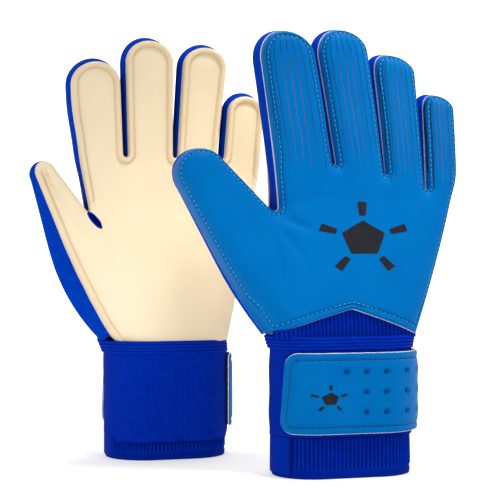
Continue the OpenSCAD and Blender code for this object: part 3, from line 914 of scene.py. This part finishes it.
def nearest_rows(flat, line):
    """Index in flat of each point of the outline."""
    return np.array([np.abs(flat - point).sum(axis=1).argmin() for point in line])


def owners(glove, shape):
    """Number of the digit that holds each face of a shape, or -1 for the hand."""
    points, faces, _, _ = shape.done()
    return digit_of(glove, face_centres(points, faces))


def build_panel(glove, face):
    panel = Panel(glove, face)
    shape, prints = panel.build()
    owner = owners(glove, shape)
    latex, slot, word = (PALM, "palm_latex", "latex") if face == "palm" else (BACK, "back_latex", "foam")
    for d, name in enumerate(("hand",) + DIGITS):
        nodes = [f"{name}_{face}"] if d else [f"{face}_panel"]
        sew(glove, f"{name}_{face}_{word}", shape, [latex, FOAM], name, slot, nodes,
            keep=owner == d - 1, prints=prints)
    return panel


def build_gusset(glove, palm, back):
    """Stretch knit between the palm and the back, all round the hand and the fingers."""
    middle = outline(glove, "middle")
    palm_in = palm.line + TUCK * inward(palm.line)
    back_in = back.line + TUCK * inward(back.line)
    palm_y, back_y = 0.9 - palm.edge, back.edge - 0.9
    last = len(middle) - BOTTOM + 1
    u = np.concatenate([[0], np.cumsum(np.linalg.norm(np.diff(middle, axis=0), axis=1))])
    points, fabric = [], []
    for t in np.arange(GUSSET_ROWS) / (GUSSET_ROWS - 1):
        flat = palm_in * (1 - t) + back_in * t + 4 * t * (1 - t) * (middle - (palm_in + back_in) / 2)
        y = palm_y * (1 - t) + back_y * t
        points.append(columns(flat[:, 0], y, flat[:, 1])[:last])
        fabric.append(columns(u, y, np.zeros(len(u)))[:last])
    shape = Shape()
    shape.add(np.concatenate(points), grid_faces(GUSSET_ROWS, last, flip=True), 0, np.concatenate(fabric))
    owner = owners(glove, shape)
    for d, name in enumerate(("hand",) + DIGITS):
        nodes = [f"{name}_gusset"] if d else ["thumb_side_wall", "little_side_wall", "thumb_web"]
        piece = sew(glove, f"{name}_side_knit", shape, [MESH], name, "gusset_mesh", nodes, keep=owner == d - 1)


# ---------------------------------------------------------------- stitches

BACK_STITCH = (2.1, 0.55, 0.5)      # length, width and height of a stitch


def dashes(places, runs, ups, length, width, height):
    """A shape of small rounded stitches, one at each place."""
    shape = Shape()
    # Places along a stitch and its thickness there, as parts of its length and its size.
    profile = ((-0.5, 0.35), (-0.38, 0.85), (0.0, 1.0), (0.38, 0.85), (0.5, 0.35))
    sides = 6
    for place, run, up in zip(places, runs, ups):
        out = np.cross(run, up)
        points = []
        for along, size in profile:
            for k in range(sides):
                a = 2 * math.pi * k / sides
                points.append(place + run * along * length
                              + size * (out * math.cos(a) * width / 2 + up * math.sin(a) * height / 2))
        faces = grid_faces(len(profile), sides, closed=True, flip=True)
        faces += [tuple(range(sides)), tuple(range(4 * sides + sides - 1, 4 * sides - 1, -1))]
        shape.add(points, faces)
    return shape


def along_line(line, step, closed=True):
    """Points at even steps along a line, with the direction there."""
    loop = np.concatenate([line, line[:1]]) if closed else line
    run = np.concatenate([[0], np.cumsum(np.linalg.norm(np.diff(loop, axis=0), axis=1))])
    at = np.arange(step / 2, run[-1], step)
    points, ahead, behind = (np.stack([np.interp(at + more, run, column) for column in loop.T], axis=1)
                             for more in (0, 0.3, -0.3))
    return points, unit(ahead - behind)


def build_back_stitches(glove, back):
    row = back.line + back.stitch_at(back.line)[:, None] * inward(back.line)
    distance, _ = edge_distance(row, back.line)
    row = row[distance > 0.9 * back.stitch_at(row)]
    flat, way = along_line(row, 3.1)
    eps = 0.4       # step over which the surface's slope is taken
    y, y_ahead = back.height(flat), back.height(flat + eps * way)
    side = columns(way[:, 1], -way[:, 0])
    y_side = back.height(flat + eps * side)
    runs = columns(way[:, 0] * eps, y_ahead - y, way[:, 1] * eps)
    across = columns(side[:, 0] * eps, y_side - y, side[:, 1] * eps)
    ups = np.cross(across, runs)
    ups *= np.sign(ups[:, 1])[:, None]
    runs, ups = unit(runs), unit(ups)
    places = columns(flat[:, 0], y + 0.1, flat[:, 1])
    owner = digit_of(glove, places)
    for d, name in enumerate(("hand",) + DIGITS):
        mine = owner == d - 1
        shape = dashes(places[mine], runs[mine], ups[mine], *BACK_STITCH)
        sew(glove, f"{name}_back_stitches", shape, [THREAD], name, "back_latex")


# ---------------------------------------------------------------- cuff

def slot_line(glove, off, s):
    """Point and outward normal of the cuff's slot shape, off millimetres outside the knit, at the distance s
    along the knit from the little finger's side corner, counter-clockwise seen from above."""
    radius = glove.knit_d / 2
    arc, flat = math.pi * radius, 2 * glove.end_x
    total = 2 * (arc + flat)
    s = np.mod(np.asarray(s, float) + arc / 2, total)
    x, y, nx, ny = (np.zeros_like(s) for _ in range(4))
    bands = ((0, arc), (arc, arc + flat), (arc + flat, 2 * arc + flat), (2 * arc + flat, total + 1))
    for number, (low, high) in enumerate(bands):
        hit = (s >= low) & (s < high)
        t = s[hit] - low
        if number in (0, 2):
            sign = 1 if number == 0 else -1
            a = t / radius - math.pi / 2
            nx[hit], ny[hit] = sign * np.cos(a), sign * np.sin(a)
            x[hit] = sign * glove.end_x + (radius + off) * nx[hit]
            y[hit] = (radius + off) * ny[hit]
        else:
            sign = 1 if number == 1 else -1
            nx[hit], ny[hit] = 0, sign
            x[hit] = sign * (glove.end_x - t)
            y[hit] = sign * (radius + off)
    return np.stack([x, y], axis=-1), np.stack([nx, ny], axis=-1)


def slot_length(glove):
    return math.pi * glove.knit_d + 4 * glove.end_x


def slot_at(glove, degrees):
    """Distance along the knit of an angle: 0 at the little finger's side, 90 to 180 round the thumb's."""
    return math.radians(degrees) * glove.knit_d / 2 + (2 * glove.end_x if degrees > 90 else 0)


def tube(glove, rows, samples, s0=0.0, s1=None, ripple=None, groove_shade=None):
    """Sleeve round the cuff from rows of (offset, z), closed along s unless s1 is given."""
    closed = s1 is None
    s = np.linspace(s0, slot_length(glove) + s0 if closed else s1, samples, endpoint=not closed)
    zeros = np.zeros(samples)
    points, fabric = [], []
    run = 0.0
    for k, (off, z) in enumerate(rows):
        zero, normal = slot_line(glove, off, s)
        flat = zero + normal * (ripple(s, z, off) if ripple else zeros)[:, None]
        points.append(columns(flat, zeros + z))
        if k:
            run += math.hypot(off - rows[k - 1][0], z - rows[k - 1][1])
        # The fabric's third number is how much painted shade a point gets.
        fabric.append(columns(s, zeros + run, groove_shade(s, z) if groove_shade else zeros))
    shape = Shape()
    shape.add(np.concatenate(points), grid_faces(len(rows), samples, closed), 0, np.concatenate(fabric))
    return shape


def ladder(z0, z1, step):
    return list(np.linspace(z0, z1, max(2, int(round((z1 - z0) / step)) + 1)))


RIB_PITCH = 2.6         # width of one rib of the knitted cuff
HEM_TOP = 5.2           # height at which the cuff's folded hem ends and its ribs begin
WRAP_RISE = 6.0         # how much higher the wrap's lower edge is on the back than on the palm side
BAND_RIDGES = 4
BAND_FLARE = {"left": (3.6, -0.6), "right": (3.2, 2.0)}     # how far the band's top flares at its two ends
FLARE_OVER = 18.0       # and the distance round the cuff over which it does
FLAP_ANGLES = (137, 205)
FLAP_LOW = 1.8


def build_sleeve(glove):
    """Ribbed tube with a folded hem at the bottom, and its lining."""
    side, top, total = glove.side, glove.cuff_h, slot_length(glove)

    def rib_wave(s):
        return np.cos(2 * math.pi * round(total / RIB_PITCH) * s / total)

    def ribs(s, z, off):
        if off < -0.2:
            return np.zeros_like(s)
        return 0.4 * rib_wave(s) * smoothstep(HEM_TOP, HEM_TOP + 1.2, z) + 0.25 * np.sin(s / 13 + z / 9)

    # Painted shade in the grooves between the ribs; the hem below them is painted darker as well.
    def groove_shade(s, z):
        hem = 1 - smoothstep(4.6, 5.6, z)
        return (0.5 - 0.5 * rib_wave(s)) ** 1.5 * smoothstep(HEM_TOP, HEM_TOP + 1.2, z) + 0.55 * hem

    rows = [(-1.45, z) for z in (top - 0.6, 60, 30, 6)]
    rows += [(-1.4, 1.6), (-1.1, 0.5), (-0.6, 0.05), (-0.1, 0.35), (0.15, 1.2), (0.22, 2.4), (0.15, 3.6)]
    rows += [(-0.1, 4.4), (-0.35, 4.8), (-0.1, 5.2), (0.05, 5.8)]
    rows += [(0.05, z) for z in ladder(6.6, top - 2, 2.0)] + [(0.0, top - 0.3), (-1.0, top - 0.3)]
    shape = tube(glove, rows, 900, ripple=ribs, groove_shade=groove_shade)
    piece = sew(glove, "cuff_rib_sleeve", shape, [TUBE], "hand", "rib_knit", ["cuff_tube"])
    total * MM
    2 * top * MM

    rows = [(-2.6, z) for z in (top - 0.8, 40, 6)] + [(-2.4, 2.4), (-2.1, 1.6), (-1.7, 2.2)]
    rows += [(-1.62, z) for z in (6, 40, top - 0.8)]
    piece = sew(glove, "cuff_inner_lining", tube(glove, rows, 160), [LINING], "hand", "lining", ["cuff_lining"])
    total * MM
    2 * top * MM


def build_wrap(glove):
    """Elastic wrap. It reaches lower on the palm side than on the back, with a soft step round both sides."""
    side, total = glove.side, slot_length(glove)
    low, high = glove.node("wrist_wrap")[:, 2].min(), glove.cuff_h - 7.2
    back_low = low + WRAP_RISE

    def waves(s, z, off):
        return 0.22 * np.sin(z / 4.3 + 1.4 * np.sin(s / 31)) * np.sin(s / 19 + 1) + 0.18 * np.sin(s / 11 + z / 17)

    # Painted shade along the wrap's rolled lower edge.
    def groove_shade(s, z):
        return np.full(len(s), 0.8 * float(z < low + 1.6))

    rows = [(0.35, high), (0.35, low + 1.0), (0.6, low + 0.3), (1.1, low), (1.5, low + 0.35), (1.65, low + 1.0)]
    rows += [(1.62, z) for z in ladder(low + 2.2, high, 1.5)]
    shape = tube(glove, rows, 300, ripple=waves, groove_shade=groove_shade)
    points = shape.points[0]
    on_back = smoothstep(-18.0, -9.0, points[:, 1])
    reach = np.clip((back_low + 8 - points[:, 2]) / (back_low + 8 - low), 0, 1)
    points[:, 2] += on_back * reach * WRAP_RISE
    piece = sew(glove, "elastic_wrist_wrap", shape, [WRAP], "hand", "wrap_knit", ["wrist_wrap"])
    total * MM
    2 * (high - low) * MM


def build_band(glove):
    """Stitched band with ridges at the top of the cuff."""
    side, top, total = glove.side, glove.cuff_h, slot_length(glove)
    low = top - 8.3

    def ridge(z):
        return abs(math.sin(BAND_RIDGES * math.pi * (z - low) / (top - low)))

    # Painted shade in the valleys between the ridges.
    def groove_shade(s, z):
        return np.full(len(s), 0.9 * (1 - min(1, 1.6 * ridge(z))))

    def waves(s, z, off):
        thumb_out, little_out = BAND_FLARE[side]
        flare = thumb_out * bell(s - slot_at(glove, 180), FLARE_OVER)
        flare += little_out * bell(np.minimum(s, total - s), FLARE_OVER)
        return flare * smoothstep(low - 2, top, z) + 0.12 * np.sin(s / 7.0 + 2.0) * np.sin(z * 1.1)

    def face(z):
        return 1.75 + 0.8 * ridge(z) ** 0.7 - 0.3 * (z - low) / (top - low)

    rows = [(0.9, low + 0.4), (1.5, low)] + [(face(z), z) for z in ladder(low, top + 0.1, 0.28)]
    rows += [(1.0, top + 0.35), (0.2, top + 0.2), (-0.4, top - 0.2)]
    shape = tube(glove, rows, 300, ripple=waves, groove_shade=groove_shade)
    piece = sew(glove, "stitched_cuff_band", shape, [BAND], "hand", "band_knit", ["cuff_top_band"])
    total * MM
    1.45 * (top - low) * MM


def build_flap(glove):
    """Smooth flap where the wrap's end is sewn down, on the thumb's side of the back."""
    s0, s1 = (slot_at(glove, angle) for angle in FLAP_ANGLES)
    high, samples = glove.node("wrist_wrap")[:, 2].min() + WRAP_RISE + 3.0, 60

    # Painted shadow along the flap's end at s0 and along its lower edge.
    def groove_shade(s, z):
        return 0.9 * bell(s - s0 - 0.4, 0.9) + 0.5 * float(z < FLAP_LOW + 0.9)

    rows = [(0.2, FLAP_LOW + 0.4), (0.6, FLAP_LOW), (1.0, FLAP_LOW + 0.3)]
    rows += [(1.3, z) for z in ladder(FLAP_LOW + 1, high, 1.6)]
    shape = tube(glove, rows, samples, s0=s0, s1=s1, groove_shade=groove_shade)
    # Its two ends are pressed down on to the sleeve.
    rim = shape.points[0].reshape(len(rows), samples, 3)
    for column, end in ((0, s0), (-1, s1)):
        zero, normal = slot_line(glove, 0.0, [end])
        rim[:, column, :2] = zero[0] + normal[0] * 0.1
    piece = sew(glove, "wrap_end_flap", shape, [WRAP], "hand", "wrap_knit")
    (s1 - s0) * MM
    1.15 * (high - FLAP_LOW) * MM


def build_rib_insert(glove):
    """Ribbed knit in the open space below the chevron."""
    low, high = glove.cuff_h - 1.5, glove.cuff_h + CHEVRON_PEAK + 5
    ends = np.array(glove.wrist_x) + [0.5, -0.5]
    x = np.arange(ends[0], ends[1], 0.33)
    swell = rounded(np.minimum(x - ends[0], ends[1] - x) + 1.0, 21.0)
    wave = np.cos(2 * math.pi * x / RIB_PITCH)
    rows, fabric = [], []
    for z in ladder(low, high, 1.0):
        top = glove.face_y(z) - 2.6
        edge = 0.42 * top
        y = edge + (top - edge) * swell + 0.4 * wave
        rows.append(columns(x, y, np.full(len(x), z)))
        # The third fabric number is painted shade in the valleys between the ribs.
        fabric.append(columns(x, np.full(len(x), z), (0.5 - 0.5 * wave) ** 1.5))
    shape = Shape()
    shape.add(np.concatenate(rows), grid_faces(len(rows), len(x), flip=True), 0, np.concatenate(fabric))
    piece = sew(glove, "ribbed_wrist_insert", shape, [TUBE], "hand", "rib_knit", ["wrist_rib_insert"])
    width = (high - low) * MM
    surface_area(piece) / width


# ---------------------------------------------------------------- strap

STRAP_RINGS = (0.3, 0.7, 1.2, 1.8, 2.5, 3.2, 3.7, 4.1, 4.5, 4.9, 5.4, 6.2)
STRAP_BORDER = 4.1      # distance of the border's groove and stitches from the strap's edge
STRAP_THICK = 2.9
STRAP_ANGLES = (-30, 149)       # of the sewn end and of the free end
STRAP_DRAW = 3.2        # how far the free end's upper corner is drawn in
DIMPLE_PITCH = 12.4
DIMPLE_DEPTH, DIMPLE_RIM = 1.65, 0.3        # how deep a dimple is, and how high its rim
STRAP_STITCH = (2.9, 1.0, 0.6)
STRAP_MOTIF = 17.0      # size of the motif on the strap
HOOK_ANGLES, LOOP_ANGLES = (80, 125), (75, 130)


def strap_outline(s0, s1, z0, z1, radius, sewn_radius, step=1.1):
    """Rounded rectangle along the cuff, clockwise seen from outside with s to the right."""
    points = []

    def arc(cx, cz, r, a0, a1):
        count = max(3, int(abs(a1 - a0) * r / step) + 1)
        for a in np.linspace(a0, a1, count):
            points.append((cx + r * math.cos(a), cz + r * math.sin(a)))

    half = math.pi / 2
    arc(s0 + sewn_radius, z0 + sewn_radius, sewn_radius, 3 * half, 2 * half)
    arc(s0 + sewn_radius, z1 - sewn_radius, sewn_radius, 2 * half, half)
    arc(s1 - radius, z1 - radius, radius, half, 0)
    arc(s1 - radius, z0 + radius, radius, 0, -half)
    points = np.array(points)
    # The free end is drawn in towards its upper corner.
    upper = smoothstep(0.35 * z0 + 0.65 * z1 - 12, z1, points[:, 1])
    points[:, 0] -= STRAP_DRAW * upper * smoothstep(s1 - 24, s1 - 6, points[:, 0])
    line, _ = along_line(points, step)
    return line


def strap_lift(glove, s):
    """How far the strap stands off the knit: it hugs the sewn end and lies over the wrap elsewhere."""
    return 2.6 + 0.25 * np.sin(s / 21.0 + 0.8) - 0.65 * smoothstep(45, 4, s)


def dimple_places(glove, z0, z1):
    """Centres of the moulded dimples, in three rows."""
    first, middle = slot_at(glove, 0) + 13.8, (z0 + z1) / 2 + 0.6
    return [(first + k * DIMPLE_PITCH * 1.04, middle + rise)
            for count, rise in ((5, DIMPLE_PITCH), (4, 0.0), (4, -DIMPLE_PITCH)) for k in range(count)]


def patch(glove, angles, low, high, face, edge, spill):
    """Flat patch round the cuff, face off the knit, with its lower and upper edge edge off it."""
    zs = ladder(low, high, 3.0)
    rows = [(edge, zs[0] - spill)] + [(face, z) for z in zs] + [(edge, zs[-1] + spill)]
    return tube(glove, rows, 40, *(slot_at(glove, angle) for angle in angles))


def build_strap(glove):
    z0, z1 = glove.strap_z
    s0, s1 = (slot_at(glove, angle) for angle in STRAP_ANGLES)
    line = strap_outline(s0, s1, z0, z1, 8.0, 3.0)
    back_line = strap_outline(s0 + 0.5, s1 - 0.7, z0 + 0.6, z1 - 0.6, 7.4, 2.6, 1.6)
    dimples = dimple_places(glove, z0, z1)

    def to_dimples(flat):
        return (np.hypot(flat[:, 0] - s, flat[:, 1] - z) for s, z in dimples)

    def height(flat):
        distance, _ = edge_distance(flat, line)
        y = strap_lift(glove, flat[:, 0]) + STRAP_THICK
        y -= 0.9 * (1 - rounded(distance, 1.3))
        y -= 0.65 * bell(distance - STRAP_BORDER, 0.6)
        y += 0.35 * smoothstep(STRAP_BORDER, STRAP_BORDER + 3, distance)
        for gap in to_dimples(flat):
            y -= DIMPLE_DEPTH * (1 - smoothstep(0.6, 2.6, gap)) - DIMPLE_RIM * bell(gap - 3.0, 0.6)
        return y

    def back_height(flat):
        return strap_lift(glove, flat[:, 0]) + 1.4

    def wrap(flat, off):
        zero, normal = slot_line(glove, 0.0, flat[:, 0])
        return columns(zero + normal * off[:, None], flat[:, 1])

    def slab(line, rings, cell, low, high, rim_kind):
        """Layer of the strap with its face at height high and its underside low above the strap's lift."""
        flat, faces = fill(line, rings, cell)
        # Painted shade in the dimples, carried as the fabric's third number.
        dimple_shade = sum(1 - smoothstep(1.0, 2.4, gap) for gap in to_dimples(flat))
        shape = Shape()
        shape.add(wrap(flat, high(flat)), faces, 0, columns(flat, dimple_shade))
        wider = line - 0.35 * inward(line)
        base = shape.add(wrap(wider, strap_lift(glove, wider[:, 0]) + low), [])
        shape.skirt(nearest_rows(flat, line), base + np.arange(len(line)), rim_kind, flip=True)
        under, under_faces = fill(wider, (), 4.0)
        shape.add(wrap(under, strap_lift(glove, under[:, 0]) + low), under_faces[:, ::-1], rim_kind)
        return shape

    sew(glove, "strap_moulded_face", slab(line, STRAP_RINGS, 1.0, 1.45, height, 1), [STRAP, FOAM], "strap",
        "strap_face", ["strap_face", "strap_anchor"])
    piece = sew(glove, "strap_woven_backing", slab(back_line, (0.8, 2.0), 3.0, 0.2, back_height, 0), [BACKING],
                "strap", "strap_backing", ["strap_backing"])
    (s1 - s0) * MM * 1.1
    (z1 - z0) * MM

    # Stitching along the border and the motif, both on the strap's face.
    row = strap_outline(s0 + STRAP_BORDER, s1 - STRAP_BORDER, z0 + STRAP_BORDER, z1 - STRAP_BORDER, 4.4, 1.5)
    flat, way = along_line(row, 3.9)
    high = height(flat) + 0.08
    places, ahead = wrap(flat, high), wrap(flat + 0.4 * way, high)
    runs = unit(ahead - places)
    _, normal = slot_line(glove, 0.0, flat[:, 0])
    ups = columns(normal, np.zeros(len(normal)))
    sew(glove, "strap_stitches", dashes(places, runs, ups, *STRAP_STITCH), [THREAD_DARK], "strap", "strap_face")

    shape = Shape()
    centre = [slot_at(glove, 90) + 2 * glove.end_x - 2.1, (z0 + z1) / 2 - 3.0]
    for flat, faces in motif(STRAP_MOTIF, centre, 1.2):
        shape.add(wrap(flat, height(flat) + PRINT_LIFT), faces)
    sew(glove, "strap_motif", shape, [PRINT], "strap", "strap_face")

    # Hook patch inside the strap and loop patch on the wrap.
    sew(glove, "hook_patch_pad", patch(glove, HOOK_ANGLES, z0 + 8, z1 - 8, 2.25, 2.7, 0.0), [HOOK],
        "strap", "hook", ["hook_patch"])
    sew(glove, "loop_patch_pile", patch(glove, LOOP_ANGLES, z0 + 6, z1 - 6, 2.05, 1.5, 0.3), [LOOP],
        "hand", "loop", ["loop_patch"])


# ---------------------------------------------------------------- motif

PRINT_LIFT = 0.12       # how far a print lies above its ground
HAND_MOTIF = 46.0       # size of the motif on the hand


def area_of(polygon):
    x, z = np.asarray(polygon).T
    return 0.5 * float(np.sum(x * np.roll(z, -1) - z * np.roll(x, -1)))


def motif(size, centre, step):
    """A football panel: a pentagon with five strokes that run out from its corners. Gives the points and
    the triangles of each part, size high and 1.3 times as wide, about centre."""
    inner, stroke_in, stroke_out, half = 0.25 * size, 0.31 * size, 0.5 * size, 0.036 * size
    angles = [2 * math.pi * k / 5 for k in range(5)]
    outlines = [[(inner * math.sin(a), inner * math.cos(a)) for a in angles]]
    for a in angles:
        way, out = np.array([math.sin(a), math.cos(a)]), np.array([math.cos(a), -math.sin(a)])
        outlines.append([way * stroke_in - out * half, way * stroke_out - out * half * 1.5,
                         way * stroke_out + out * half * 1.5, way * stroke_in + out * half])
    for line in outlines:
        line, _ = along_line(np.array(line) * [1.3, 1] + centre, step)
        yield fill(line[::-1] if area_of(line) > 0 else line, (), step)


def build_hand_motif(glove, back):
    centre = [0.5 * (glove.digits[2].fold[0] + glove.digits[3].fold[0]) - 14, glove.flat_z - 25]
    shape = Shape()
    for flat, faces in motif(HAND_MOTIF, centre, 1.5):
        y = back.height(flat) + PRINT_LIFT
        shape.add(columns(flat[:, 0], y, flat[:, 1]), faces[:, ::-1])
    sew(glove, "hand_motif", shape, [PRINT], "hand", "back_latex")


def build_crotch_inset(glove, palm):
    """Small oval of side knit let into the palm at the thumb's crotch."""
    thumb = glove.digits[0]
    centre = thumb.point(thumb.base_w / 2, -2.0)
    lean = math.radians(-40)
    way, across = np.array([math.sin(lean), math.cos(lean)]), np.array([math.cos(lean), -math.sin(lean)])
    a = np.linspace(0, 2 * math.pi, 40, endpoint=False)
    line = centre + np.multiply.outer(7.4 * np.cos(a), way) + np.multiply.outer(2.6 * np.sin(a), across)
    line = line if area_of(line) < 0 else line[::-1]
    flat, faces = fill(line, (0.5,), 1.0)
    # What lies beyond the palm's edge is out of sight, inside the glove.
    y = np.where(inside(flat, palm.line), palm.height(flat), glove.finger_y - 5)
    distance, _ = edge_distance(flat, line)
    y = -(y + 0.35 * np.clip(distance, 0, 1))
    shape = Shape()
    shape.add(columns(flat[:, 0], y, flat[:, 1]), faces, 0, columns(flat, distance))
    piece = sew(glove, "thumb_crotch_knit", shape, [MESH], "hand", "gusset_mesh")


# ---------------------------------------------------------------- build

for side in ("left", "right"):
    glove = Glove(side)
    palm = build_panel(glove, "palm")
    back = build_panel(glove, "back")
    build_gusset(glove, palm, back)
    build_back_stitches(glove, back)
    build_rib_insert(glove)
    build_sleeve(glove)
    build_wrap(glove)
    build_band(glove)
    build_flap(glove)
    build_strap(glove)
    build_hand_motif(glove, back)
    build_crotch_inset(glove, palm)


# ---------------------------------------------------------------- studio

def studio():
    scene = bpy.context.scene
    scene.view_settings.view_transform = "Standard"

    # The floor curves up into a plain wall all round.
    rise, turns = 0.9, 64
    profile = [(0.03, 0.0), (0.5, 0.0)]
    profile += [(1.6 + rise * math.sin(a), rise - rise * math.cos(a)) for a in np.linspace(0, math.pi / 2, 13)]
    profile += [(2.5, 2.6)]
    points = [(r * math.cos(a), r * math.sin(a), z) for r, z in profile
              for a in np.linspace(0, 2 * math.pi, turns, endpoint=False)]
    mesh = bpy.data.meshes.new("floor")
    faces = grid_faces(len(profile), turns, closed=True, flip=True) + [tuple(range(turns))]
    mesh.from_pydata(points, [], faces)
    mesh.polygons.foreach_set("use_smooth", [True] * len(mesh.polygons))
    floor = bpy.data.objects.new("floor", mesh)
    scene.collection.objects.link(floor)
    n = Nodes("floor_white", rough=0.9, specular=0.1)
    n.shader.inputs["Emission Color"].default_value = (1, 1, 1, 1)
    n.shader.inputs["Emission Strength"].default_value = 0.44
    mesh.materials.append(n.colour((0.68, 0.68, 0.68, 1)))

    world = bpy.data.worlds.new("studio")
    world.use_nodes = True
    world.node_tree.nodes["Background"].inputs["Color"].default_value = (1, 1, 1, 1)
    world.node_tree.nodes["Background"].inputs["Strength"].default_value = 0.2
    scene.world = world

    def area(name, place, target, size, power, spread=180):
        light = bpy.data.lights.new(name, "AREA")
        light.shape, light.size, light.energy = "DISK", size, power
        light.spread = math.radians(spread)
        lamp = bpy.data.objects.new(name, light)
        scene.collection.objects.link(lamp)
        lamp.location = place
        way = np.array(target) - np.array(place)
        lamp.rotation_euler = Vector(way).to_track_quat("-Z", "Y").to_euler()

    area("key", (0.22, -0.32, 0.80), (0.10, -0.06, 0.27), 0.25, 0.24, 28)
    area("side", (-0.46, -0.62, 0.04), (-0.04, 0.04, 0.06), 0.3, 0.10, 26)
    area("top", (0.1, 0.3, 1.5), (0, 0.1, 0.0), 0.8, 6.5)
    area("backdrop", (0.3, 0.9, 1.2), (0.6, 2.4, 0.6), 1.0, 32.0)

    camera = bpy.data.objects.new("camera", bpy.data.cameras.new("camera"))
    scene.collection.objects.link(camera)
    camera.data.sensor_width = 36.0
    camera.data.lens = 102.5
    camera.location = (-0.2486, -0.9014, 0.140)
    camera.rotation_euler = (math.radians(90), 0, math.radians(-16))
    scene.camera = camera


studio()
